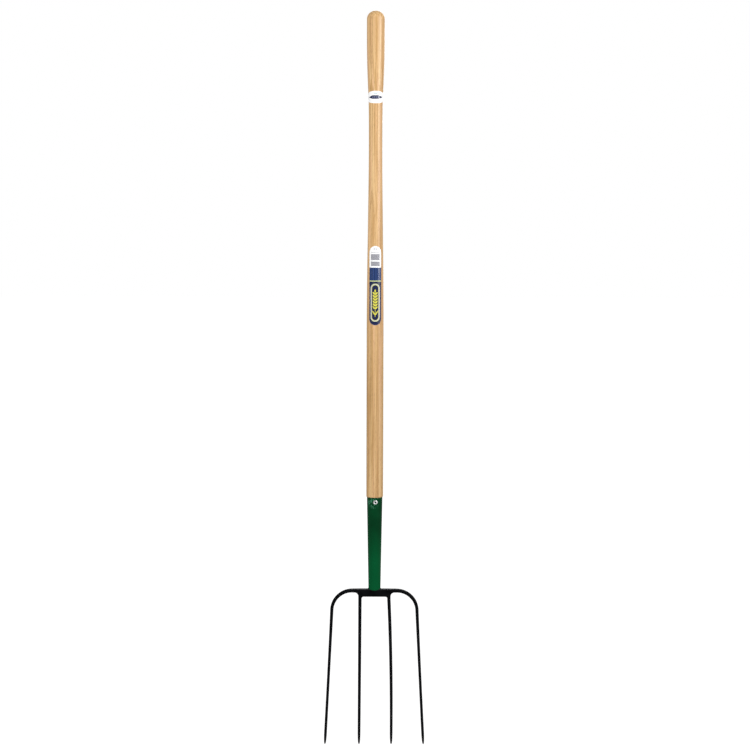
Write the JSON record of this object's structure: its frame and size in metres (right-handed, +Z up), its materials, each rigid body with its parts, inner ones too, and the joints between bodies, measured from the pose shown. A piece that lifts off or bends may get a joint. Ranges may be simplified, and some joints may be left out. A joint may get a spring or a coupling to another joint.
{
  "type": "hay fork",
  "caption": "Long-handled fork with a turned ash shaft, a riveted steel socket and a forged head of curved tapering prongs, for pitching hay and manure.",
  "frame": {"origin": "on the shaft's axis, at the middle of its straight round stretch above the socket, where a tool clip grips", "axes": "+Z up the shaft to the grip, prongs down at -Z and curving forward to -Y, +X across the prongs to the right as seen from the front"},
  "size_m": [0.225, 0.1167, 1.6337],
  "materials": {
    "ash": "satin varnish",
    "green_paint": "gloss",
    "black_paint": "semi-gloss",
    "rivet_steel": "bright",
    "printed_label": "gloss print"
  },
  "bodies": {
    "root": {"shaft": "ash", "grip": "ash", "socket": "green_paint", "rivet": "rivet_steel", "yoke": "black_paint", "outer_prong_left": "black_paint", "outer_prong_right": "black_paint", "inner_prong_left": "black_paint", "inner_prong_right": "black_paint", "foot_welds": "black_paint", "shaft_label": "printed_label", "grip_label": "printed_label"}
  },
  "joints": []
}
